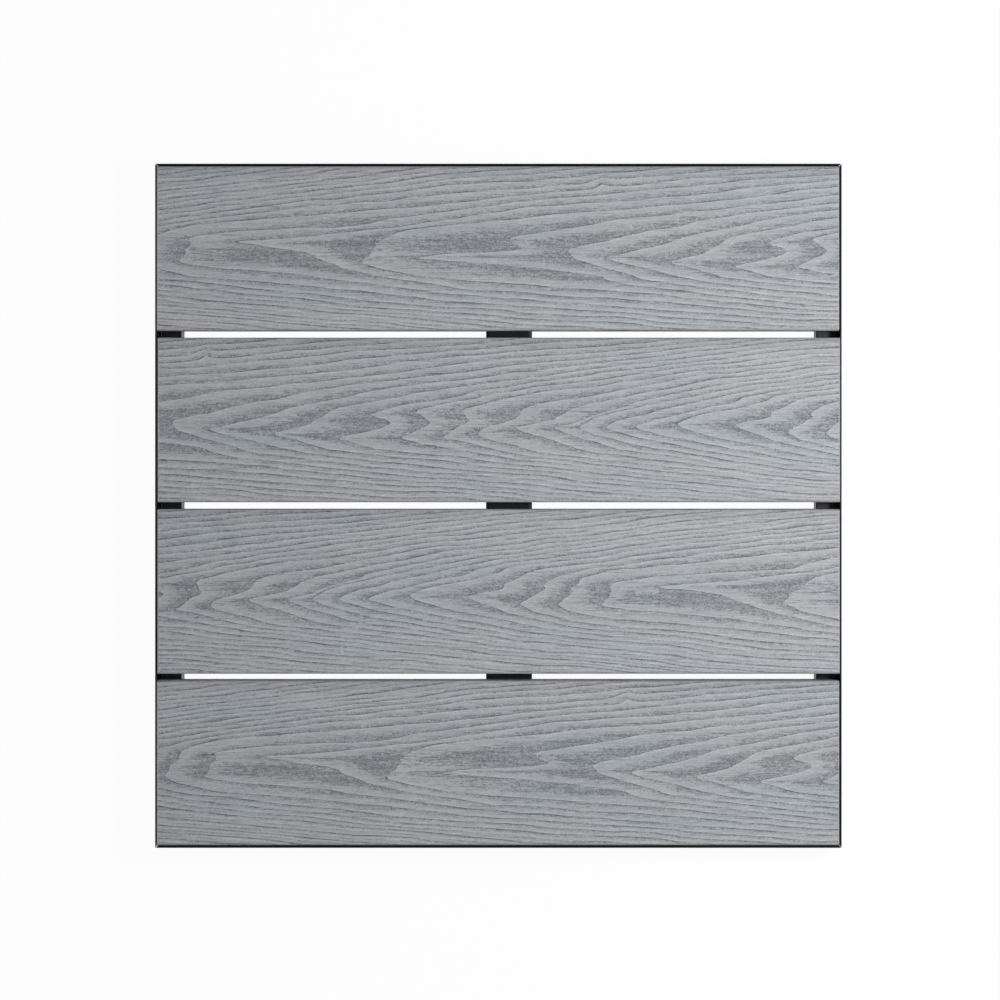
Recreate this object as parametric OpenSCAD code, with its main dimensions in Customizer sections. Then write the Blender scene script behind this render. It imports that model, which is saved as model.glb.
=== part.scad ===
// Modular deck tile: four composite boards in a mitred aluminium frame.
// The origin is on the plane that the feet stand on, under the middle of the tile.
// X runs along the boards, Y across them and Z up. Lengths are in millimetres.

/* [Boards] */
// Length of a board
board_l = 596.2; // [400:0.1:900]
// Width of a board
board_w = 144; // [110:1:200]
// Thickness of a board
board_t = 23; // [20:0.5:32]
// Drainage gap between two boards
board_gap = 6; // [4:0.5:12]
// Radius of the long edges on the walking face
board_edge_r = 3; // [1:0.5:6]
// Radius of the long edges underneath
board_foot_r = 1.2; // [0.5:0.1:3]
// Chamfer of the sawn ends
board_end_chamfer = 0.6; // [0.2:0.1:1.5]
// Clearance from a board's end to the rim
board_end_gap = 0.5; // [0.2:0.1:3]
// Clearance from the outer boards' sides to the rim
board_side_gap = 0.6; // [0.2:0.1:3]
// Width of the grooves milled along the underside
board_groove_w = 12; // [6:1:20]
// Depth of those grooves
board_groove_t = 1.5; // [0.5:0.1:4]

/* [Frame] */
// Thickness of the rim round the boards
rim_t = 1.4; // [1:0.1:3]
// How far the rim stops below the walking face
rim_drop = 0.5; // [0:0.1:3]
// Width of a rail, rim and ledge together
rail_w = 20.3; // [18:0.1:40]
// Height of a rail up to its ledge
rail_h = 20; // [16:0.5:40]
// Thickness of the ledge that carries the boards
ledge_t = 1.8; // [1.2:0.1:3]
// Thickness of a rail's inner wall
inner_t = 1.6; // [1.2:0.1:3]
// Width of the lips at the foot of a rail's walls
lip_w = 3; // [1:0.1:4]
// Thickness of those lips
lip_t = 1.6; // [1:0.1:3]
// Diameter of the two bearing beads on the ledge
bead_d = 1.6; // [1:0.1:2.4]
// Distance from the rim's outer face to the outer bead
bead_in = 2.4; // [2.2:0.1:6]
// Fillets inside the extruded section
section_fillet = 0.9; // [0.4:0.1:1.5]
// Open gap at each mitred corner
mitre_gap = 0.5; // [0.2:0.1:2]

/* [Centre joist] */
// Width of the joist
joist_w = 40.6; // [30:0.1:60]
// Wall thickness of the joist
joist_t = 2; // [1.5:0.1:3]
// Outer radius of the joist's long edges
joist_r = 2.6; // [2.1:0.1:4]
// Distance of the joist from the middle of the tile
joist_x = 9; // [-20:1:20]
// Clearance at each end of the joist
joist_end_gap = 0.3; // [0.1:0.1:2]

/* [Feet] */
// Length of a corner key's legs, measured from the corner
key_leg = 34; // [28:1:36]
// Thickness of the foot plates under the frame
plate_t = 3; // [2:0.5:6]
// Side of a corner's foot plate
plate_l = 38; // [36:1:60]
// Corner radius of the foot plates
plate_r = 6; // [3:0.5:10]
// Length of the centre foot along the joist
centre_foot_l = 36; // [30:1:60]
// Wall thickness of the moulded feet
foot_wall = 2.4; // [1.8:0.1:4]
// Side of a rubber pad
pad_l = 28; // [20:1:30]
// Thickness of a rubber pad
pad_t = 2; // [1.5:0.1:4]
// How far a pad stands out of its foot plate
pad_proud = 1; // [0.5:0.1:1.2]

/* [Joist cleats] */
// Length of a cleat's two legs
cleat_l = 20; // [16:1:30]
// Height of a cleat
cleat_h = 14; // [11:1:16]
// Thickness of a cleat
cleat_t = 2; // [1.5:0.1:3]

/* [Fasteners] */
// Shank diameter of the board screws
screw_d = 4.4; // [3:0.1:5]
// Head diameter of the board screws
screw_head_d = 8.8; // [7:0.1:10]
// Depth of a board screw in its board
screw_in = 17; // [10:0.5:18]
// Distance of a board's screws from its centre line
screw_off = 28; // [26:1:40]
// Shank diameter of the screws that hold the feet
key_screw_d = 3.5; // [3:0.1:4]
// Diameter of a rivet's shank
rivet_d = 3.2; // [2.4:0.1:4]
// Diameter of a rivet's head
rivet_head_d = 6.4; // [5:0.1:7]

/* [Hidden] */

// Four boards, numbered from the back. Each lies where it was pushed within its end clearance.
board_count = 4;
board_shift_share = [-0.6, 0.8, 0.4, -0.6];
board_groove_shares = [-0.36, -0.12, 0.12, 0.36];

// Round parts are smooth, and cuts run past the faces they open.
$fn = 48;
cut = 0.4;
// Clearance of a moulded part in its channel, and of a shank in its hole
fit_gap = 0.15;
hole_gap = 0.1;

// Heights of the frame, the boards' undersides and the walking face
frame_z = plate_t + pad_proud;
bead_top = rail_h + bead_d / 2;
board_z = frame_z + bead_top;
deck_z = board_z + board_t;
rim_h = deck_z - rim_drop - frame_z;

// Outer size of the tile
board_pitch = board_w + board_gap;
tile_l = board_l + 2 * (board_end_gap + rim_t);
tile_w = board_count * board_w + (board_count - 1) * board_gap + 2 * (board_side_gap + rim_t);

// The channel under a rail's ledge, and the slot between its lips
channel_in = rim_t;
channel_out = rail_w - inner_t;
channel_mid = (channel_in + channel_out) / 2;
channel_h = rail_h - ledge_t;

// The joist reaches the boards and runs between the inner walls of the end rails
joist_h = bead_top;
joist_l = tile_w - 2 * (rail_w + joist_end_gap);
joist_in_w = joist_w - 2 * joist_t;

// Corner keys fill the channel, with a neck between the lips
key_w = channel_out - channel_in - 2 * fit_gap;
key_z = lip_t + fit_gap;
key_h = channel_h - key_z - fit_gap;
neck_w = key_w - 2 * lip_w;
plate_inset = 1;
plate_chamfer = 0.8;
key_pocket_share = 0.45;

// Details of the screws, rivets and pads
screw_head_h = 2.6;
washer_h = 0.8;
head_top_share = 0.62;
head_foot_share = 0.92;
screw_tip = 3;
recess_w = 1.1;
recess_l = 4.6;
recess_depth = 1.6;
key_head_d = 6.8;
key_head_h = 2.2;
key_head_top_share = 0.7;
key_recess_l = 3.4;
key_recess_depth = 1.2;
key_screw_in = 10;
key_screw_share = 0.35;
rivet_head_h = 1.3;
rivet_ball_r = (pow(rivet_head_d / 2, 2) + pow(rivet_head_h, 2)) / (2 * rivet_head_h);
rivet_bulb_d = 4.8;
rivet_bulb_l = 3;
rivet_core_d = 1.6;
rivet_core_depth = 0.5;
pad_r = 4;
pad_slit_w = 1.4;
pad_slit_depth = 0.7;
pad_slit_share = 0.22;

// Heights of the side fixings above the frame's foot
key_screw_z = key_z + key_h * key_screw_share;
rivet_z = cleat_h / 2 + lip_t + fit_gap;
cleat_z = lip_t + fit_gap;

// Corner signs of the tile, numbered from front left round to back left
corners = [[-1, -1], [1, -1], [1, 1], [-1, 1]];

function board_y(i) = ((board_count + 1) / 2 - i) * board_pitch;

// What is outside a quarter circle, to round off the corner at the origin
module outside_round(r) {
  difference() {
    translate([-cut, -cut]) square(r + cut);
    translate([r, r]) circle(r);
  }
}

// What fills a corner at the origin with a concave fillet
module fillet(r) {
  difference() {
    square(r);
    translate([r, r]) circle(r);
  }
}

// Round-cornered plate centred on the origin
module round_plate(l, w, r, t) {
  linear_extrude(t) union() {
    square([l - 2 * r, w], center = true);
    square([l, w - 2 * r], center = true);
    for (sx = [-1, 1], sy = [-1, 1])
      translate([sx * (l / 2 - r), sy * (w / 2 - r)]) circle(r);
  }
}

// Section of a board: eased long edges, and shallow grooves milled underneath
module board_section() {
  difference() {
    translate([-board_w / 2, 0]) square([board_w, board_t]);
    for (s = [-1, 1]) {
      translate([s * board_w / 2, board_t]) mirror([s > 0 ? 1 : 0, 0]) mirror([0, 1])
        outside_round(board_edge_r);
      translate([s * board_w / 2, 0]) mirror([s > 0 ? 1 : 0, 0]) outside_round(board_foot_r);
    }
    for (share = board_groove_shares)
      translate([share * board_w - board_groove_w / 2, -cut])
        square([board_groove_w, board_groove_t + cut]);
  }
}

// One board, sawn square with its top end edges chamfered and its pilot holes drilled from below
module board(i) {
  x = board_shift_share[i - 1] * board_end_gap;
  color("slategray") difference() {
    translate([x - board_l / 2, board_y(i), board_z]) rotate([90, 0, 90])
      linear_extrude(board_l) board_section();
    for (s = [-1, 1])
      translate([x + s * board_l / 2, board_y(i), deck_z]) rotate([0, 45, 0])
        cube([board_end_chamfer * sqrt(2), board_w + 2 * cut, board_end_chamfer * sqrt(2)], center = true);
    at_board_screws(i) translate([0, 0, -cut])
      cylinder(d = screw_d + 2 * hole_gap, h = screw_in + hole_gap + cut);
  }
}

// Places of one board's screws on the underside plane, on one bearer or on all three
bearer_x = [-tile_l / 2 + channel_mid, joist_x, tile_l / 2 - channel_mid];
module at_board_screws(i, bearers = [0, 1, 2]) {
  for (b = bearers, s = [-1, 1])
    translate([bearer_x[b], board_y(i) + s * screw_off, board_z]) children();
}

// Extruded section of a rail: u runs inwards from the outer face, v up from the frame's foot
module rail_section() {
  square([rim_t, rim_h - rim_t / 2]);
  translate([rim_t / 2, rim_h - rim_t / 2]) circle(d = rim_t);
  translate([0, channel_h]) square([rail_w, ledge_t]);
  translate([channel_out, 0]) square([inner_t, rail_h]);
  square([rim_t + lip_w, lip_t]);
  translate([channel_out - lip_w, 0]) square([inner_t + lip_w, lip_t]);
  for (u = [bead_in, rail_w - bead_d / 2])
    translate([u, rail_h]) circle(d = bead_d);
  translate([rim_t, rail_h]) fillet(section_fillet);
  translate([channel_in, channel_h]) mirror([0, 1]) fillet(section_fillet);
  translate([channel_out, channel_h]) mirror([1, 0]) mirror([0, 1]) fillet(section_fillet);
}

// A rail of length l along Y, outer face on the Y axis, with its ends mitred and held half a gap apart
module rail(l) {
  g = mitre_gap / sqrt(2);
  intersection() {
    translate([0, l / 2, 0]) rotate([90, 0, 0]) linear_extrude(l) rail_section();
    translate([0, 0, -cut]) linear_extrude(rim_h + 2 * cut)
      polygon([
        [-cut, -l / 2 + g - cut], [rail_w + cut, -l / 2 + g + rail_w + cut],
        [rail_w + cut, l / 2 - g - rail_w - cut], [-cut, l / 2 - g + cut]
      ]);
  }
}

// A side rail stands at the boards' ends; s is -1 for the left and 1 for the right
module side_rail(s) {
  color("#1d1e20") difference() {
    translate([s * tile_l / 2, 0, frame_z]) mirror([s > 0 ? 1 : 0, 0, 0]) rail(tile_w);
    for (i = [1:board_count])
      at_board_screws(i, [s < 0 ? 0 : 2]) translate([0, 0, -bead_d / 2 - ledge_t - cut])
        cylinder(d = screw_d + 4 * hole_gap, h = ledge_t + bead_d + 2 * cut);
    at_key_screws(s, 0) bore_through(key_screw_d + 4 * hole_gap);
  }
}

// An end rail runs along the outer boards; s is -1 for the front and 1 for the back
module end_rail(s) {
  color("#1d1e20") difference() {
    translate([0, s * tile_w / 2, frame_z]) rotate([0, 0, -s * 90]) rail(tile_l);
    at_key_screws(s, 1) bore_through(key_screw_d + 4 * hole_gap);
    for (k = [0:3]) if (corners[k].y == s) at_rail_rivet(k) bore_through(rivet_d + 2 * hole_gap);
  }
}

// A hole through an inner wall: the face is at the origin and the wall lies along +Z
module bore_through(d) {
  translate([0, 0, -cut]) cylinder(d = d, h = inner_t + 2 * cut);
}

// Channel-shaped joist, open below, with a round bend along both edges
module joist_section() {
  r_in = joist_r - joist_t;
  difference() {
    translate([-joist_w / 2, 0]) square([joist_w, joist_h]);
    for (s = [-1, 1])
      translate([s * joist_w / 2, joist_h]) mirror([s > 0 ? 1 : 0, 0]) mirror([0, 1])
        outside_round(joist_r);
    difference() {
      translate([-joist_in_w / 2, -cut]) square([joist_in_w, joist_h - joist_t + cut]);
      for (s = [-1, 1])
        translate([s * joist_in_w / 2, joist_h - joist_t]) mirror([s > 0 ? 1 : 0, 0])
          mirror([0, 1]) fillet(r_in);
    }
  }
  for (s = [-1, 1])
    translate([s * (joist_in_w - lip_w) / 2, lip_t / 2]) square([lip_w, lip_t], center = true);
}

module centre_joist() {
  color("#1d1e20") difference() {
    translate([joist_x, joist_l / 2, frame_z]) rotate([90, 0, 0])
      linear_extrude(joist_l) joist_section();
    for (i = [1:board_count])
      at_board_screws(i, [1]) translate([0, 0, -joist_t - cut])
        cylinder(d = screw_d + 4 * hole_gap, h = joist_t + 2 * cut);
    at_centre_foot_screws() translate([0, 0, -cut])
      cylinder(d = key_screw_d + 4 * hole_gap, h = joist_t + 2 * cut);
    for (k = [0:3]) at_joist_rivet(k) translate([0, 0, -cut])
      cylinder(d = rivet_d + 2 * hole_gap, h = joist_t + 2 * cut);
  }
}

// One leg of a corner key along +X, from the corner of the tile: it fills the channel of an end rail
key_in = channel_in + fit_gap;
module key_leg_solid() {
  translate([key_in, key_in, key_z]) cube([key_leg - key_in, key_w, key_h]);
  translate([key_in + lip_w, key_in + lip_w, 0]) cube([key_leg - key_in - lip_w, neck_w, key_z]);
}

// The leg's top edges are bevelled to clear the fillets in the channel
module key_leg_relief() {
  side = section_fillet * sqrt(2);
  for (from = [[0, key_in], [key_in + key_w, key_in + key_w]])
    translate([from.x, from.y, key_z + key_h]) rotate([45, 0, 0])
      translate([0, -side / 2, -side / 2]) cube([key_leg + cut, side, side]);
}

// A pocket in the top of a key leg keeps its walls even
module key_leg_pocket() {
  from = rail_w + foot_wall;
  room = key_leg - from - foot_wall;
  translate([from, key_in + foot_wall, key_z + key_h * (1 - key_pocket_share)])
    cube([room, key_w - 2 * foot_wall, key_h * key_pocket_share + cut]);
}

// Corner foot: an L-shaped key in both channels and a foot plate with a recess for its pad
module corner_foot(k) {
  at_corner(k) difference() {
    union() {
      translate([0, 0, frame_z]) for (m = [0, 1]) swap_xy(m) key_leg_solid();
      translate([plate_inset + plate_l / 2, plate_inset + plate_l / 2, pad_proud])
        foot_plate(plate_l, plate_l);
    }
    translate([0, 0, frame_z]) for (m = [0, 1]) swap_xy(m) {
      key_leg_relief();
      key_leg_pocket();
    }
    for (m = [0, 1]) swap_xy(m) translate([key_screw_x(), rail_w - inner_t, frame_z + key_screw_z])
      rotate([90, 0, 0]) translate([0, 0, -cut])
        cylinder(d = key_screw_d + 2 * hole_gap, h = key_screw_in + hole_gap + cut);
  }
}

// A foot plate centred on X and Y, from its bottom face up, with a chamfer round the foot
module foot_plate(l, w) {
  difference() {
    round_plate(l, w, plate_r, plate_t);
    translate([0, 0, -cut])
      round_plate(pad_l + 2 * hole_gap, pad_l + 2 * hole_gap, pad_r + hole_gap, pad_t - pad_proud + cut);
    for (s = [-1, 1]) {
      translate([s * l / 2, 0, 0]) rotate([0, 45, 0])
        cube([plate_chamfer * sqrt(2), w + 2 * cut, plate_chamfer * sqrt(2)], center = true);
      translate([0, s * w / 2, 0]) rotate([45, 0, 0])
        cube([l + 2 * cut, plate_chamfer * sqrt(2), plate_chamfer * sqrt(2)], center = true);
    }
  }
}

// Moves what is drawn from the origin inwards along +X and +Y to corner k of the tile
module at_corner(k) {
  translate([corners[k].x * tile_l / 2, corners[k].y * tile_w / 2, 0])
    mirror([corners[k].x > 0 ? 1 : 0, 0, 0]) mirror([0, corners[k].y > 0 ? 1 : 0, 0]) children();
}

module swap_xy(on) {
  if (on) mirror([1, -1, 0]) children();
  else children();
}

// The key screws enter clear of the other rail
function key_screw_x() = (rail_w + key_head_d / 2 + key_leg) / 2;

// Places of the key screws on the inner wall of one rail, +Z into the wall
module at_key_screws(s, along_x) {
  for (k = [0:3])
    if ((along_x ? corners[k].y : corners[k].x) == s)
      at_corner(k) swap_xy(along_x ? 0 : 1)
        translate([key_screw_x(), rail_w, frame_z + key_screw_z]) rotate([90, 0, 0]) children();
}

// The centre foot plugs the joist from below and is screwed through both its walls
module centre_foot() {
  w = joist_in_w - 2 * fit_gap;
  h = joist_h - joist_t - key_z - fit_gap;
  color("#26272a") translate([joist_x, 0, 0]) difference() {
    union() {
      translate([0, 0, frame_z + key_z + h / 2]) cube([w, centre_foot_l, h], center = true);
      translate([0, 0, frame_z + key_z / 2])
        cube([w - 2 * lip_w, centre_foot_l, key_z], center = true);
      translate([0, 0, pad_proud]) foot_plate(joist_w, plate_l);
    }
    for (s = [-1, 1]) {
      translate([s * w / 4, 0, frame_z + key_z + h])
        cube([w / 2 - 2 * foot_wall, centre_foot_l - 2 * foot_wall, h * 2 * key_pocket_share], center = true);
      translate([s * w / 2, 0, frame_z + key_z + h]) rotate([0, 45, 0])
        cube([section_fillet * sqrt(2), centre_foot_l + 2 * cut, section_fillet * sqrt(2)], center = true);
    }
    translate([-joist_x, 0, 0]) at_centre_foot_screws() translate([0, 0, joist_t - cut])
      cylinder(d = key_screw_d + 2 * hole_gap, h = key_screw_in + hole_gap + cut - joist_t);
  }
}

// Places of the centre foot's screws on the joist's side walls, clear of the drainage gap, +Z into the wall
centre_screw_y = centre_foot_l / 2 - foot_wall - key_head_d / 2;
module at_centre_foot_screws() {
  for (s = [-1, 1])
    translate([joist_x + s * joist_w / 2, s * centre_screw_y, frame_z + lip_t + key_head_d / 2 + fit_gap])
      rotate([0, -s * 90, 0]) children();
}

// Rubber pad with a grid of slits in its foot
module foot_pad() {
  color("#111213") difference() {
    round_plate(pad_l, pad_l, pad_r, pad_t);
    for (s = [-1, 1], m = [0, 1])
      rotate([0, 0, m * 90]) translate([s * pad_slit_share * pad_l, 0, 0])
        cube([pad_slit_w, pad_l + 2 * cut, 2 * pad_slit_depth], center = true);
  }
}

module corner_pad(k) {
  at_corner(k) translate([plate_inset + plate_l / 2, plate_inset + plate_l / 2, 0]) foot_pad();
}

// Angle cleat k joins a side wall of the joist to the inner wall of an end rail
module joist_cleat(k) {
  color("#2a2b2e") difference() {
    at_cleat(k) difference() {
      translate([0, 0, cleat_z]) cube([cleat_l, cleat_l, cleat_h]);
      translate([cleat_t, cleat_t, cleat_z - cut]) cube([cleat_l, cleat_l, cleat_h + 2 * cut]);
    }
    at_rail_rivet(k) translate([0, 0, -cleat_t - cut])
      cylinder(d = rivet_d + 2 * hole_gap, h = cleat_t + 2 * cut);
    at_joist_rivet(k) translate([0, 0, -cleat_t - cut])
      cylinder(d = rivet_d + 2 * hole_gap, h = cleat_t + 2 * cut);
  }
}

// Inner corner between the joist and an end rail, +X away from the joist, +Y away from the rail
module at_cleat(k) {
  translate([
    joist_x + corners[k].x * joist_w / 2, corners[k].y * (tile_w / 2 - rail_w), frame_z
  ])
    mirror([corners[k].x < 0 ? 1 : 0, 0, 0]) mirror([0, corners[k].y > 0 ? 1 : 0, 0]) children();
}

// Rivet places on the wall faces behind a cleat, +Z into the wall
rivet_out = (cleat_l + cleat_t) / 2;
module at_rail_rivet(k) {
  at_cleat(k) translate([rivet_out, 0, rivet_z]) rotate([90, 0, 0]) children();
}
module at_joist_rivet(k) {
  at_cleat(k) translate([0, rivet_out, rivet_z]) rotate([0, -90, 0]) children();
}

// Washer-head screw up into a board: the head bears under the origin plane, +Z into the board
module board_screw(plate) {
  difference() {
    union() {
      translate([0, 0, -plate - washer_h]) cylinder(d = screw_head_d, h = washer_h);
      translate([0, 0, -plate - screw_head_h])
        cylinder(
          d1 = screw_head_d * head_top_share, d2 = screw_head_d * head_foot_share, h = screw_head_h - washer_h
        );
      translate([0, 0, -plate]) cylinder(d = screw_d, h = plate + screw_in - screw_tip);
      translate([0, 0, screw_in - screw_tip]) cylinder(d1 = screw_d, d2 = recess_w, h = screw_tip);
    }
    cross_recess(-plate - screw_head_h, recess_l, recess_depth);
  }
}

// Cross recess cut upwards from a head's face at height z
module cross_recess(z, l, depth) {
  for (a = [0, 90])
    translate([0, 0, z]) rotate([0, 0, a]) cube([l, recess_w, 2 * depth], center = true);
}

module board_screws(b) {
  color("silver") for (i = [1:board_count])
    at_board_screws(i, [b]) board_screw(b == 1 ? joist_t : bead_d / 2 + ledge_t);
}

// Pan-head screw for the moulded feet: the head bears on the origin plane, +Z into the wall
module key_screw() {
  difference() {
    union() {
      translate([0, 0, -key_head_h]) 
        cylinder(d1 = key_head_d * key_head_top_share, d2 = key_head_d, h = key_head_h / 2);
      translate([0, 0, -key_head_h / 2]) cylinder(d = key_head_d, h = key_head_h / 2);
      cylinder(d = key_screw_d, h = key_screw_in - screw_tip / 2);
      translate([0, 0, key_screw_in - screw_tip / 2])
        cylinder(d1 = key_screw_d, d2 = recess_w, h = screw_tip / 2);
    }
    cross_recess(-key_head_h, key_recess_l, key_recess_depth);
  }
}

// Blind rivet: a domed head on the cleat, the shank and the bulb drawn up behind the wall
module rivet(wall) {
  difference() {
    union() {
      translate([0, 0, -cleat_t]) intersection() {
        translate([0, 0, -rivet_head_h]) cylinder(d = rivet_head_d + cut, h = rivet_head_h);
        translate([0, 0, rivet_ball_r - rivet_head_h]) sphere(rivet_ball_r);
      }
      translate([0, 0, -cleat_t]) cylinder(d = rivet_d, h = cleat_t + wall);
      translate([0, 0, wall]) cylinder(d1 = rivet_bulb_d, d2 = rivet_d, h = rivet_bulb_l);
    }
    translate([0, 0, -cleat_t - rivet_head_h - cut])
      cylinder(d = rivet_core_d, h = rivet_core_depth + cut);
  }
}

module cleat_rivets() {
  color("#8d9094") for (k = [0:3]) {
    at_rail_rivet(k) rivet(inner_t);
    at_joist_rivet(k) rivet(joist_t);
  }
}

for (i = [1:board_count])
  board(i);
side_rail(-1);  // side_rail_left
side_rail(1);  // side_rail_right
end_rail(-1);  // end_rail_front
end_rail(1);  // end_rail_back
centre_joist();
for (k = [0:3]) {
  color("#26272a") corner_foot(k);
  corner_pad(k);
  joist_cleat(k);
}
centre_foot();
translate([joist_x, 0, 0]) foot_pad();  // foot_pad_centre
board_screws(0);  // board_screws_left
board_screws(1);  // board_screws_centre
board_screws(2);  // board_screws_right
color("silver") for (s = [-1, 1], along_x = [0, 1]) at_key_screws(s, along_x) key_screw();  // corner_foot_screws
color("silver") at_centre_foot_screws() key_screw();  // centre_foot_screws
cleat_rivets();
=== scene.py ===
import math

import bpy
import numpy as np
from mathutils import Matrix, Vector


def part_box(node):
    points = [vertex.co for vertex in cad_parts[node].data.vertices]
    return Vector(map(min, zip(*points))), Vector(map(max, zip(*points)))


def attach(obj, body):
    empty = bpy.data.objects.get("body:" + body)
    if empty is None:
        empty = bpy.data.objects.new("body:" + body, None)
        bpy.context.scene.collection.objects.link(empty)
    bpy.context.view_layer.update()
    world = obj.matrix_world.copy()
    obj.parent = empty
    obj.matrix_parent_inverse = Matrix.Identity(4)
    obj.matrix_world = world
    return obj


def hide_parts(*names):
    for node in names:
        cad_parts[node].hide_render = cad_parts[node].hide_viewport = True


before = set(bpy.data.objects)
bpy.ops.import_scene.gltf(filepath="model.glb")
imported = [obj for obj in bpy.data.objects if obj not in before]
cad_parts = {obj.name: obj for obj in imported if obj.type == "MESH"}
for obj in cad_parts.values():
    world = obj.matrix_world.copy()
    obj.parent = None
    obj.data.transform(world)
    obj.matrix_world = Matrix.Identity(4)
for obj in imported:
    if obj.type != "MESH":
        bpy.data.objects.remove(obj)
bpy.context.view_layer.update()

# Camera. The photo looks straight down from two and a half metres, from a place a little up and
# to the right of the tile's middle: the left rail shows more of its inner wall than the right one,
# and the front gap shows less floor than the back one. The lens shift recentres the tile.
MM = 0.001
board_low, board_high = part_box("board_1")
deck_top = board_high.z
photo_mm_per_px = 0.8735
photo_size_px = 1000
camera_height = 2450 * MM
camera_x = 40 * MM
camera_y = 60 * MM
view_centre_x = 1.44 * MM
view_centre_y = 5.07 * MM
view_size = photo_mm_per_px * photo_size_px * MM

bpy.ops.object.camera_add(location=(camera_x, camera_y, deck_top + camera_height))
camera = bpy.context.object
camera.name = "camera"
camera.data.sensor_width = 36
camera.data.lens = camera.data.sensor_width * camera_height / view_size
camera.data.shift_x = (view_centre_x - camera_x) / view_size
camera.data.shift_y = (view_centre_y - camera_y) / view_size
bpy.context.scene.camera = camera


def linear(hex_colour):
    """An sRGB colour such as "a0a4a8" as linear red, green, blue and alpha."""
    channels = [int(hex_colour[i:i + 2], 16) / 255 for i in (0, 2, 4)]
    return [c / 12.92 if c <= 0.04045 else ((c + 0.055) / 1.055) ** 2.4 for c in channels] + [1]


def node(tree, kind, links=None, **settings):
    """Adds one node; settings are its properties or the values of its inputs, links the sockets fed into it."""
    made = tree.nodes.new(kind)
    for name, value in settings.items():
        if hasattr(made, name):
            setattr(made, name, value)
    for name, value in settings.items():
        if not hasattr(made, name):
            made.inputs[name.replace("_", " ")].default_value = value
    for name, socket in (links or {}).items():
        tree.links.new(socket, made.inputs[name])
    return made


def new_material(name):
    """An empty node material with its output node."""
    material = bpy.data.materials.new(name)
    material.use_nodes = True
    material.node_tree.nodes.clear()
    return material, material.node_tree


# Studio. A dim white dome and one small softbox up on the right, so that the boards are darker on
# the left and only the right rail's ledge catches its shine through the gaps. The paper floor is
# white to the camera and keeps a shadow.
bpy.context.scene.view_settings.view_transform = "Standard"
world = bpy.data.worlds.new("soft_studio")
bpy.context.scene.world = world
world.use_nodes = True
sky = world.node_tree
sky.nodes.clear()
sky_light = node(sky, "ShaderNodeBackground", Color=linear("ffffff"), Strength=0.28)
sky_seen = node(sky, "ShaderNodeBackground", Color=linear("ffffff"), Strength=1.0)
ray = node(sky, "ShaderNodeLightPath")
shown = node(sky, "ShaderNodeMath", {0: ray.outputs["Is Camera Ray"], 1: ray.outputs["Is Transmission Ray"]}, operation="MAXIMUM")
white_rays = node(sky, "ShaderNodeMath", {0: shown.outputs[0], 1: ray.outputs["Is Glossy Ray"]}, operation="MAXIMUM")
sky_mix = node(sky, "ShaderNodeMixShader", {0: white_rays.outputs[0], 1: sky_light.outputs[0], 2: sky_seen.outputs[0]})
node(sky, "ShaderNodeOutputWorld", {"Surface": sky_mix.outputs[0]})

key_size = 0.2
bpy.ops.object.light_add(type="AREA", location=(0.73, 0.13, 1.22))
key = bpy.context.object
key.name = "key_softbox"
key.data.shape = "SQUARE"
key.data.size = key_size
key.data.energy = 12.3
key.rotation_euler = (key.location * -1).to_track_quat("-Z", "Y").to_euler()

floor_side = 8
floor_clearance = 0.2 * MM
bpy.ops.mesh.primitive_plane_add(size=floor_side, location=(0, 0, -floor_clearance))
floor = bpy.context.object
floor.name = "paper_floor"
paper, t = new_material("white_paper_floor")
ray = node(t, "ShaderNodeLightPath")
shown = node(t, "ShaderNodeMath", {0: ray.outputs["Is Camera Ray"], 1: ray.outputs["Is Transmission Ray"]}, operation="MAXIMUM")
seen = node(t, "ShaderNodeMath", {0: shown.outputs[0], 1: ray.outputs["Is Glossy Ray"]}, operation="MAXIMUM")
grain = node(t, "ShaderNodeTexNoise", Scale=300, Detail=2)
tone = node(t, "ShaderNodeValToRGB", {"Fac": grain.outputs["Fac"]})
tone.color_ramp.elements[0].color = linear("fafafa")
tone.color_ramp.elements[1].color = linear("ffffff")
matte = node(t, "ShaderNodeBsdfDiffuse", {"Color": tone.outputs[0]})
glow = node(t, "ShaderNodeEmission", Color=linear("ffffff"), Strength=1.0)
share = node(t, "ShaderNodeMath", {0: seen.outputs[0]}, operation="MULTIPLY")
share.inputs[1].default_value = 0.96
mixed = node(t, "ShaderNodeMixShader", {0: share.outputs[0], 1: matte.outputs[0], 2: glow.outputs[0]})
node(t, "ShaderNodeOutputMaterial", {"Surface": mixed.outputs[0]})
floor.data.materials.append(paper)

# Boards. Each real board is extruded from wood-plastic composite and then run hot under an
# engraved steel roller, which presses the same long grain into all of them, each starting
# at another place on the roller. Long edges are eased, ends are sawn and lightly chamfered.
edge_radius = 3 * MM
foot_radius = 1.2 * MM
end_chamfer = 0.6 * MM
grid_pitch_x = 1.33 * MM
grid_pitch_y = 0.82 * MM
relief_depth = 0.30 * MM
groove_width = 12 * MM
groove_depth = 1.5 * MM
groove_shares = (0.36, 0.12, -0.12, -0.36)

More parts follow.
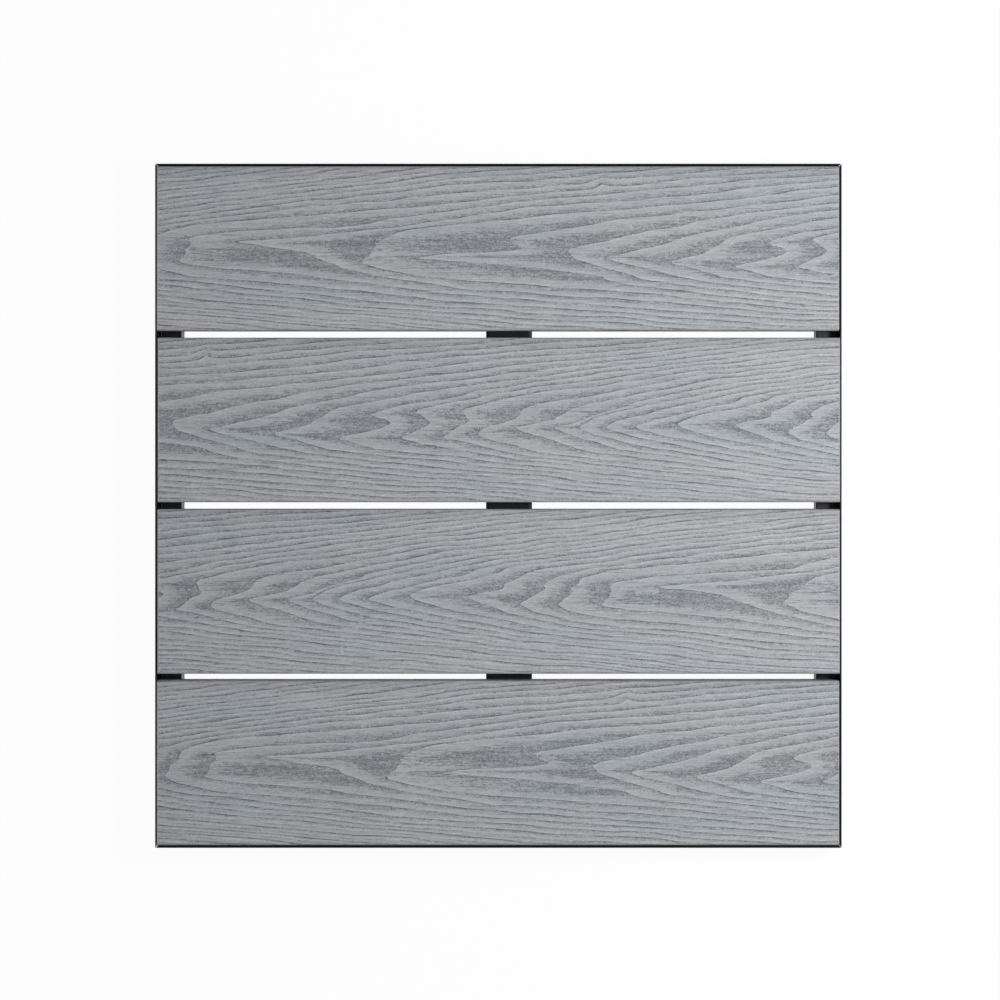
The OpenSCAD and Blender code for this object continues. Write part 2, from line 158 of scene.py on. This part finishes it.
# The roller's engraving, in millimetres round it and across it from the boards' back edge.
# Each row is one growth line, given by how far round it lies at the stations across the heart.
roller_turn = 948.4
stations = (52.5, 57.7, 63.0, 67.3, 71.7, 75.2, 78.7, 83.1, 88.3, 96.2)
growth_lines = (
    (612, 584, 561, 541, 523, 516, 521, 533, 550, 579),
    (673, 634, 617, 607, 591, 573, 547, 562, 584, 615),
    (726, 686, 660, 652, 646, 639, 631, 607, 617, 652),
    (770, 730, 705, 693, 707, 710, 702, 685, 659, 700),
    (791, 759, 734, 736, 742, 744, 740, 729, 715, 752),
    (822, 791, 773, 776, 778, 774, 769, 763, 754, 791),
    (883, 844, 825, 822, 817, 809, 793, 787, 789, 826),
    (909, 883, 866, 861, 851, 838, 819, 825, 841, 875),
    (935, 923, 910, 897, 881, 868, 852, 857, 876, 914),
    (962, 943, 922, 904, 890, 881, 875, 886, 907, 944),
    (988, 971, 951, 935, 918, 906, 898, 911, 934, 972),
    (1019, 1003, 981, 964, 946, 933, 924, 941, 965, 1006),
    (1049, 1028, 1006, 988, 969, 958, 961, 978, 1001, 1042),
    (1080, 1060, 1046, 1042, 1030, 1011, 1014, 1033, 1041, 1074),
    (1115, 1093, 1082, 1077, 1072, 1068, 1062, 1056, 1067, 1104),
    (1141, 1117, 1105, 1104, 1101, 1098, 1095, 1090, 1100, 1141),
    (1294, 1176, 1139, 1137, 1136, 1133, 1130, 1125, 1159, 1242),
    (1329, 1281, 1229, 1165, 1220, 1235, 1244, 1255, 1271, 1303),
    (1351, 1319, 1306, 1301, 1297, 1293, 1290, 1286, 1301, 1338),
    (1487, 1447, 1414, 1417, 1426, 1428, 1318, 1377, 1443, 1500),
)
# Beyond the heart the lines run off towards the board's edges, flatter and more evenly spaced
# the further out they are, and straight lines along the board come in between them.
upper_run, upper_flattening = 4.2, 0.030
lower_run, lower_flattening = 4.0, 0.050
evening_out = 9.0
upper_extra, lower_extra = 0.075, 0.095
small_knot, knot_height = (549.0, 13.5), 4.0
dark_edge_width, dark_edge_share = 12.0, 0.12
roller_starts = {"board_1": 457.7, "board_2": 804.0, "board_3": 1037.5, "board_4": 435.8}


def smooth_noise(x, y, seed):
    """Smooth noise from 0 to 1 at points given in cells."""
    rng = np.random.default_rng(seed)
    lattice = rng.random((64, 64))
    xi, yi = np.floor(x).astype(int), np.floor(y).astype(int)
    fx, fy = x - xi, y - yi
    fx, fy = fx * fx * (3 - 2 * fx), fy * fy * (3 - 2 * fy)
    a = lattice[yi % 64, xi % 64] * (1 - fx) + lattice[yi % 64, (xi + 1) % 64] * fx
    b = lattice[(yi + 1) % 64, xi % 64] * (1 - fx) + lattice[(yi + 1) % 64, (xi + 1) % 64] * fx
    return a * (1 - fy) + b * fy


across_step, round_step = 0.3, 1.0
across = np.arange(-6, 152, across_step)
around = np.arange(-60, 2400, round_step)
lines = np.array(growth_lines, float)
kernel = np.exp(-0.5 * (np.arange(-9, 10) * across_step / 1.1) ** 2)
kernel /= kernel.sum()
shaped = []
for line in lines:
    at = np.interp(across, stations, line)
    padded_line = np.pad(at, 9, mode="edge")
    shaped.append(np.convolve(padded_line, kernel, mode="valid"))
above = np.clip(stations[0] - across, 0, None)
below = np.clip(across - stations[-1], 0, None)
run_off = upper_run * above + upper_flattening * above ** 2 + lower_run * below + lower_flattening * below ** 2
shaped = np.array(shaped)
middle = shaped.mean(1)
gaps = np.diff(middle, append=middle[0] + roller_turn)
weights = np.exp(-0.5 * (np.arange(-4, 5) / 1.7) ** 2)
calm_gaps = sum(w * np.roll(gaps, k) for k, w in zip(range(-4, 5), weights / weights.sum()))
even = np.concatenate([[0], np.cumsum(calm_gaps)[:-1]])[:, None]
even = even + (shaped - even).mean(0)
evened = 0.85 * (1 - np.exp(-(above + below) / evening_out))
shaped = shaped * (1 - evened) + even * evened + run_off
turns = range(-3, 3)
all_lines = np.concatenate([shaped + k * roller_turn for k in turns])
line_numbers = np.concatenate([np.arange(len(lines)) + k * len(lines) for k in turns]).astype(float)
engraving = np.array([np.interp(around, all_lines[:, j], line_numbers) for j in range(len(across))])


def lines_at(m, v):
    """Growth-line number at places round (m) and across (v) the roller, read between the engraving's points."""
    j = np.clip((v - across[0]) / across_step, 0, len(across) - 1.001)
    i = np.clip((m - around[0]) / round_step, 0, len(around) - 1.001)
    j0, i0 = j.astype(int), i.astype(int)
    fj, fi = j - j0, i - i0
    low = engraving[j0, i0] * (1 - fi) + engraving[j0, i0 + 1] * fi
    high = engraving[j0 + 1, i0] * (1 - fi) + engraving[j0 + 1, i0 + 1] * fi
    far_above = np.clip(stations[0] - v, 0, None)
    far_below = np.clip(v - stations[-1], 0, None)
    extra = upper_extra * far_above ** 2 / (far_above + 10) + lower_extra * far_below ** 2 / (far_below + 6)
    return low * (1 - fj) + high * fj - extra


def line_pitch(m, v):
    """Distance in millimetres from one growth line to the next, straight across them."""
    along = (lines_at(m + 2, v) - lines_at(m - 2, v)) / 4
    over = (lines_at(m, v + 1) - lines_at(m, v - 1)) / 2
    return 1 / np.maximum(np.hypot(along, over), 0.012)


def wander(m, v):
    """The small sways of real growth lines, and the little knot that they pass over."""
    v = v + 3.2 * (smooth_noise(m / 70 + 9, v / 17, 3) - 0.5) + 1.5 * (smooth_noise(m / 24, v / 6, 4) - 0.5)
    m = m + 7.0 * (smooth_noise(m / 27, v / 4.3, 5) - 0.5)
    knot_m = np.abs((m - small_knot[0] + roller_turn / 2) % roller_turn - roller_turn / 2)
    return m, v + knot_height * np.exp(-((knot_m + 3) / 10) ** 2 - ((v - small_knot[1]) / 6) ** 2)


# Composite boards: wood flour in grey-pigmented polymer, hot-embossed. The raised earlywood is
# smooth and pale with a faint brushing; the pressed latewood is darker, dull and stippled.
# The stipple of the real roller is about 0.5 mm; it is drawn at 1.2 mm, as coarse as shows.
composite, t = new_material("embossed_grey_composite")
place = node(t, "ShaderNodeTexCoord").outputs["Object"]
line_number = node(t, "ShaderNodeAttribute", attribute_name="growth_line").outputs["Fac"]
pitch = node(t, "ShaderNodeAttribute", attribute_name="line_pitch").outputs["Fac"]


def stretched_noise(tree, along_mm, across_mm, detail, roughness=0.55, distortion=0.0):
    """Noise on Object coordinates with cells of a real length along the board and across it."""
    mapping = node(tree, "ShaderNodeMapping", {"Vector": place}, Scale=(1 / (along_mm * MM), 1 / (across_mm * MM), 1))
    return node(
        tree, "ShaderNodeTexNoise", {"Vector": mapping.outputs[0]},
        Scale=1, Detail=detail, Roughness=roughness, Distortion=distortion,
    ).outputs["Fac"]


def sum_of(tree, a, b, how="ADD", clamp=False):
    """Two values added, or joined by another Math operation."""
    made = node(tree, "ShaderNodeMath", operation=how, use_clamp=clamp)
    for socket, value in zip(made.inputs, (a, b)):
        if isinstance(value, (int, float)):
            socket.default_value = value
        else:
            tree.links.new(value, socket)
    return made.outputs[0]


def spread(tree, value, low, high, new_low, new_high):
    """A value's range moved to another range, clamped."""
    return node(
        tree, "ShaderNodeMapRange", {"Value": value},
        From_Min=low, From_Max=high, To_Min=new_low, To_Max=new_high,
    ).outputs[0]


fine = stretched_noise(t, 2.2, 1.3, 2)
streak = stretched_noise(t, 16, 0.95, 3)
long_streak = stretched_noise(t, 90, 2.6, 3)
broad = stretched_noise(t, 190, 42, 2)
stipple = stretched_noise(t, 3.0, 1.6, 2, distortion=1.6)
ragged = stretched_noise(t, 10, 1.5, 3)
strength = stretched_noise(t, 48, 4.2, 3)

# The dark line is about one millimetre wide; the stippled patch before it fills up to half of the
# way back to the line before. Where lines come too close every other one fades out.
line_shaken = sum_of(t, line_number, spread(t, fine, 0.3, 0.7, -0.02, 0.02))
before_line = sum_of(t, 1, sum_of(t, line_shaken, 0, "FRACT"), "SUBTRACT")
before_mm = sum_of(t, before_line, pitch, "MULTIPLY")
dark_line = spread(t, before_mm, 0.45, 1.3, 1.0, 0.0)
dark_line = sum_of(t, dark_line, spread(t, strength, 0.36, 0.6, 0.60, 1.15), "MULTIPLY")
reach = spread(t, pitch, 10, 60, 0.62, 1.05)
patch_at = sum_of(t, sum_of(t, before_line, reach, "DIVIDE"), spread(t, ragged, 0.3, 0.7, -0.36, 0.36))
patch = sum_of(t, spread(t, patch_at, 0.30, 0.95, 1.0, 0.0), spread(t, pitch, 10, 60, 1.0, 2.6), "MULTIPLY", clamp=True)
patch = sum_of(t, patch, spread(t, pitch, 5, 20, 0.56, 0.70), "MULTIPLY")
odd_line = sum_of(t, sum_of(t, sum_of(t, line_number, 0, "FLOOR"), 2, "MODULO"), 0, "ABSOLUTE")
crowded = sum_of(t, spread(t, pitch, 3.6, 5.0, 1.0, 0.0), spread(t, strength, 0.42, 0.5, 1.0, 0.55), "MULTIPLY")
kept = sum_of(t, 1, sum_of(t, odd_line, crowded, "MULTIPLY"), "SUBTRACT")
kept = sum_of(t, kept, spread(t, strength, 0.36, 0.6, 0.68, 1.06), "MULTIPLY")
kept = sum_of(t, kept, node(t, "ShaderNodeAttribute", attribute_name="embossed").outputs["Fac"], "MULTIPLY")
pressed_share = sum_of(t, sum_of(t, dark_line, patch, "MAXIMUM"), kept, "MULTIPLY")
# Painted highlight: the colour is lifted by up to 13 % in the first two millimetres after each dark line, where the
# embossed shoulder would catch the light.
after_mm = sum_of(t, sum_of(t, 1, before_line, "SUBTRACT"), pitch, "MULTIPLY")
painted_shoulder_highlight = sum_of(t, 1, sum_of(t, spread(t, after_mm, 0.5, 2.2, 0.13, 0.0), kept, "MULTIPLY"))

tint = node(t, "ShaderNodeValToRGB", {"Fac": broad})
tint.color_ramp.elements[0].position, tint.color_ramp.elements[0].color = 0.36, linear("aaafb3")
tint.color_ramp.elements[1].position, tint.color_ramp.elements[1].color = 0.64, linear("afb0b3")
body = node(t, "ShaderNodeMix", {0: pressed_share, 6: tint.outputs[0]}, data_type="RGBA", blend_type="MULTIPLY")
body.inputs[7].default_value = linear("a3a6aa")

speck_light = spread(t, stipple, 0.42, 0.60, 0.76, 1.46)
speck_show = spread(t, pressed_share, 0.1, 0.5, 0.26, 1.0)
speck_tone = sum_of(t, sum_of(t, sum_of(t, speck_light, 1, "SUBTRACT"), speck_show, "MULTIPLY"), 1)
pore = spread(t, stretched_noise(t, 44, 0.9, 2), 0.60, 0.66, 1.0, 0.66)
tone = sum_of(t, speck_tone, spread(t, streak, 0.3, 0.7, 0.89, 1.11), "MULTIPLY")
tone = sum_of(t, tone, spread(t, long_streak, 0.3, 0.7, 0.93, 1.07), "MULTIPLY")
tone = sum_of(t, tone, pore, "MULTIPLY")
# The painted shoulder highlight is multiplied into the tone here.
tone = sum_of(t, tone, painted_shoulder_highlight, "MULTIPLY")
tone = sum_of(t, tone, node(t, "ShaderNodeAttribute", attribute_name="back_edge").outputs["Fac"], "MULTIPLY")
toned = node(t, "ShaderNodeVectorMath", {0: body.outputs[2], 1: tone}, operation="MULTIPLY")

height = sum_of(t, sum_of(t, pressed_share, -0.14 * MM, "MULTIPLY"), sum_of(t, streak, 0.10 * MM, "MULTIPLY"))
height = sum_of(t, height, sum_of(t, sum_of(t, stipple, pressed_share, "MULTIPLY"), 0.16 * MM, "MULTIPLY"))
bump = node(t, "ShaderNodeBump", {"Height": height}, Strength=1.0, Distance=1.0)
skin = node(t, "ShaderNodeBsdfPrincipled", {"Base Color": toned.outputs[0], "Normal": bump.outputs[0]}, Roughness=0.62)
skin.inputs["Specular IOR Level"].default_value = 0.35
node(t, "ShaderNodeOutputMaterial", {"Surface": skin.outputs[0]})


def select_edges(obj, chosen):
    """Selects, in edit mode, the edges whose two ends both pass the test."""
    bpy.ops.object.mode_set(mode="OBJECT")
    ok = [chosen(v.co) for v in obj.data.vertices]
    for v in obj.data.vertices:
        v.select = False
    for e in obj.data.edges:
        e.select = ok[e.vertices[0]] and ok[e.vertices[1]]
    for p in obj.data.polygons:
        p.select = False
    bpy.ops.object.mode_set(mode="EDIT")


near = 0.01 * MM
for name in ("board_1", "board_2", "board_3", "board_4"):
    low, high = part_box(name)
    length, width = high.x - low.x, high.y - low.y
    mid_x, mid_y = (low.x + high.x) / 2, (low.y + high.y) / 2
    flat_width = width - 2 * edge_radius
    columns, rows = round(length / grid_pitch_x), round(flat_width / grid_pitch_y)

    bpy.ops.object.select_all(action="DESELECT")
    bpy.ops.mesh.primitive_grid_add(x_subdivisions=columns, y_subdivisions=rows, size=1, location=(0, 0, 0))
    board = bpy.context.object
    board.name = name + "_embossed"
    board.scale = (length, flat_width, 1)
    board.location = (mid_x, mid_y, high.z)
    bpy.ops.object.transform_apply(location=True, rotation=True, scale=True)
    bpy.context.tool_settings.mesh_select_mode = (False, True, False)
    for side in (1, -1):
        rim_y = mid_y + side * flat_width / 2
        select_edges(board, lambda co: abs(co.y - rim_y) < near and abs(co.z - high.z) < near)
        bpy.ops.mesh.spin(steps=4, angle=math.pi / 2, center=(mid_x, rim_y, high.z - edge_radius), axis=(side, 0, 0))
        bpy.ops.mesh.extrude_edges_move(TRANSFORM_OT_translate={"value": (0, 0, -(high.z - low.z - edge_radius - foot_radius))})
        bpy.ops.mesh.spin(
            steps=2, angle=math.pi / 2, axis=(side, 0, 0),
            center=(mid_x, rim_y + side * (edge_radius - foot_radius), low.z + foot_radius),
        )
    step_from = mid_y + width / 2 - foot_radius
    select_edges(board, lambda co: abs(co.y - step_from) < near and abs(co.z - low.z) < near)
    for share in groove_shares:
        groove_from = mid_y + share * width + groove_width / 2
        for move in (
            (0, groove_from - step_from, 0), (0, 0, groove_depth), (0, -groove_width, 0), (0, 0, -groove_depth),
        ):
            bpy.ops.mesh.extrude_edges_move(TRANSFORM_OT_translate={"value": move})
        step_from = groove_from - groove_width
    bpy.ops.mesh.extrude_edges_move(
        TRANSFORM_OT_translate={"value": (0, mid_y - width / 2 + foot_radius - step_from, 0)})
    bpy.ops.mesh.select_all(action="SELECT")
    bpy.ops.mesh.remove_doubles(threshold=0.02 * MM)
    for end_x in (low.x, high.x):
        select_edges(board, lambda co: abs(co.x - end_x) < near)
        bpy.ops.mesh.edge_face_add()
    for end_x in (low.x, high.x):
        select_edges(board, lambda co: abs(co.x - end_x) < near and co.z > high.z - near)
        bpy.ops.mesh.bevel(offset=end_chamfer, segments=2)
    bpy.ops.mesh.select_all(action="SELECT")
    bpy.ops.mesh.normals_make_consistent(inside=False)
    bpy.ops.object.mode_set(mode="OBJECT")

    count = len(board.data.vertices)
    co = np.empty(count * 3, np.float32)
    board.data.vertices.foreach_get("co", co)
    co = co.reshape(-1, 3).astype(float)
    m = co[:, 0] / MM + roller_starts[name]
    v = (high.y - co[:, 1]) / MM
    ring, pitch_mm = lines_at(*wander(m, v)), line_pitch(m, v)
    on_top = np.clip((co[:, 2] - high.z + 2 * MM) / (2 * MM), 0, 1) * (np.abs(co[:, 0] - mid_x) < length / 2 - 1 * MM)
    back_edge = 1 - dark_edge_share * np.clip((dark_edge_width - v) / (dark_edge_width / 2), 0, 1)
    for attribute, values in (("growth_line", ring), ("line_pitch", pitch_mm), ("back_edge", back_edge), ("embossed", on_top)):
        stored = board.data.attributes.new(attribute, "FLOAT", "POINT")
        stored.data.foreach_set("value", values.astype(np.float32))

    pressed = np.clip((ring % 1 - 0.45) / 0.5, 0, 1)
    pressed[(np.floor(ring) % 2 == 1) & (pitch_mm < 4.3)] = 0
    levels = np.round(pressed * on_top * 40).astype(int)
    group = board.vertex_groups.new(name="pressed")
    for level in range(1, 41):
        group.add(np.nonzero(levels == level)[0].tolist(), level / 40, "REPLACE")
    press = board.modifiers.new("press", "DISPLACE")
    press.direction = "Z"
    press.mid_level = 0
    press.strength = -relief_depth
    press.vertex_group = "pressed"
    bpy.ops.object.modifier_apply(modifier="press")
    bpy.ops.object.shade_smooth_by_angle(angle=math.radians(35))
    board.data.materials.append(composite)
    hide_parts(name)
    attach(board, "root")

# Frame rails, joist. Extruded aluminium with a satin black polyester powder coat, baked on:
# it gives a deep black with a soft sheen and a fine orange-peel texture.
powder_coat, t = new_material("satin_black_powder_coat")
place = node(t, "ShaderNodeTexCoord").outputs["Object"]
peel = node(t, "ShaderNodeTexNoise", {"Vector": place}, Scale=1 / (0.9 * MM), Detail=2, Roughness=0.5)
worn = node(t, "ShaderNodeTexNoise", {"Vector": place}, Scale=1 / (60 * MM), Detail=3, Roughness=0.6)
shade = node(t, "ShaderNodeValToRGB", {"Fac": worn.outputs["Fac"]})
shade.color_ramp.elements[0].position, shade.color_ramp.elements[0].color = 0.35, linear("09090a")
shade.color_ramp.elements[1].position, shade.color_ramp.elements[1].color = 0.7, linear("0e0e0f")
sheen = node(t, "ShaderNodeMapRange", {"Value": worn.outputs["Fac"]}, From_Min=0.3, From_Max=0.7, To_Min=0.36, To_Max=0.41)
peel_bump = node(t, "ShaderNodeBump", {"Height": peel.outputs["Fac"]}, Strength=0.25, Distance=0.05 * MM)
coat = node(t, "ShaderNodeBsdfPrincipled", {"Base Color": shade.outputs[0], "Roughness": sheen.outputs[0], "Normal": peel_bump.outputs[0]})
coat.inputs["Specular IOR Level"].default_value = 0.18
node(t, "ShaderNodeOutputMaterial", {"Surface": coat.outputs[0]})
rails = ("side_rail_left", "side_rail_right", "end_rail_front", "end_rail_back", "centre_joist")
for name in rails:
    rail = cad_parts[name]
    rail.data.materials.clear()
    rail.data.materials.append(powder_coat)

# Joist cleats. Folded steel angle with a thin black dip coat, duller than the rails.
dip_coat, t = new_material("dull_black_dip_coat")
place = node(t, "ShaderNodeTexCoord").outputs["Object"]
mottle = node(t, "ShaderNodeTexNoise", {"Vector": place}, Scale=1 / (6 * MM), Detail=3)
shade = node(t, "ShaderNodeValToRGB", {"Fac": mottle.outputs["Fac"]})
shade.color_ramp.elements[0].color = linear("1c1c1d")
shade.color_ramp.elements[1].color = linear("29292b")
dull = node(t, "ShaderNodeBsdfPrincipled", {"Base Color": shade.outputs[0]}, Roughness=0.6)
node(t, "ShaderNodeOutputMaterial", {"Surface": dull.outputs[0]})
for number in range(1, 5):
    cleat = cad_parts[f"joist_cleat_{number}"]
    cleat.data.materials.clear()
    cleat.data.materials.append(dip_coat)

# Feet. Moulded glass-filled nylon, spark-eroded mould finish: a matte, slightly mottled black.
nylon, t = new_material("moulded_black_nylon")
place = node(t, "ShaderNodeTexCoord").outputs["Object"]
texture = node(t, "ShaderNodeTexNoise", {"Vector": place}, Scale=1 / (0.8 * MM), Detail=2)
flow = node(t, "ShaderNodeTexNoise", {"Vector": place}, Scale=1 / (18 * MM), Detail=3)
shade = node(t, "ShaderNodeValToRGB", {"Fac": flow.outputs["Fac"]})
shade.color_ramp.elements[0].color = linear("202123")
shade.color_ramp.elements[1].color = linear("2c2d30")
spark = node(t, "ShaderNodeBump", {"Height": texture.outputs["Fac"]}, Strength=0.3, Distance=0.05 * MM)
moulded = node(t, "ShaderNodeBsdfPrincipled", {"Base Color": shade.outputs[0], "Normal": spark.outputs[0]}, Roughness=0.55)
node(t, "ShaderNodeOutputMaterial", {"Surface": moulded.outputs[0]})
for name in ("corner_foot_1", "corner_foot_2", "corner_foot_3", "corner_foot_4", "centre_foot"):
    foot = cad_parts[name]
    foot.data.materials.clear()
    foot.data.materials.append(nylon)

# Foot pads. Moulded black rubber: very matte, with a faint grey bloom.
rubber, t = new_material("moulded_black_rubber")
place = node(t, "ShaderNodeTexCoord").outputs["Object"]
bloom = node(t, "ShaderNodeTexNoise", {"Vector": place}, Scale=1 / (7 * MM), Detail=4)
shade = node(t, "ShaderNodeValToRGB", {"Fac": bloom.outputs["Fac"]})
shade.color_ramp.elements[0].color = linear("161616")
shade.color_ramp.elements[1].color = linear("242423")
matte_rubber = node(t, "ShaderNodeBsdfPrincipled", {"Base Color": shade.outputs[0]}, Roughness=0.8)
node(t, "ShaderNodeOutputMaterial", {"Surface": matte_rubber.outputs[0]})
for name in ("foot_pad_1", "foot_pad_2", "foot_pad_3", "foot_pad_4", "foot_pad_centre"):
    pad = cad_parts[name]
    pad.data.materials.clear()
    pad.data.materials.append(rubber)

# Screws. Rolled stainless steel, plain: bright grey with a soft turned sheen.
stainless, t = new_material("plain_stainless_steel")
place = node(t, "ShaderNodeTexCoord").outputs["Object"]
turned = node(t, "ShaderNodeTexNoise", {"Vector": place}, Scale=1 / (1.2 * MM), Detail=2)
shade = node(t, "ShaderNodeValToRGB", {"Fac": turned.outputs["Fac"]})
shade.color_ramp.elements[0].color = linear("b4b2ae")
shade.color_ramp.elements[1].color = linear("cfcdc8")
bright = node(t, "ShaderNodeBsdfPrincipled", {"Base Color": shade.outputs[0]}, Metallic=1.0, Roughness=0.32)
node(t, "ShaderNodeOutputMaterial", {"Surface": bright.outputs[0]})
for name in ("board_screws_left", "board_screws_centre", "board_screws_right", "corner_foot_screws", "centre_foot_screws"):
    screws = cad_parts[name]
    screws.data.materials.clear()
    screws.data.materials.append(stainless)

# Blind rivets. Plain aluminium, set with a hand tool: paler and softer than the screws.
soft_aluminium, t = new_material("plain_rivet_aluminium")
place = node(t, "ShaderNodeTexCoord").outputs["Object"]
scuff = node(t, "ShaderNodeTexNoise", {"Vector": place}, Scale=1 / (1.0 * MM), Detail=2)
shade = node(t, "ShaderNodeValToRGB", {"Fac": scuff.outputs["Fac"]})
shade.color_ramp.elements[0].color = linear("c4c5c6")
shade.color_ramp.elements[1].color = linear("dcdcdc")
soft_metal = node(t, "ShaderNodeBsdfPrincipled", {"Base Color": shade.outputs[0]}, Metallic=1.0, Roughness=0.42)
node(t, "ShaderNodeOutputMaterial", {"Surface": soft_metal.outputs[0]})
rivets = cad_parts["cleat_rivets"]
rivets.data.materials.clear()
rivets.data.materials.append(soft_aluminium)
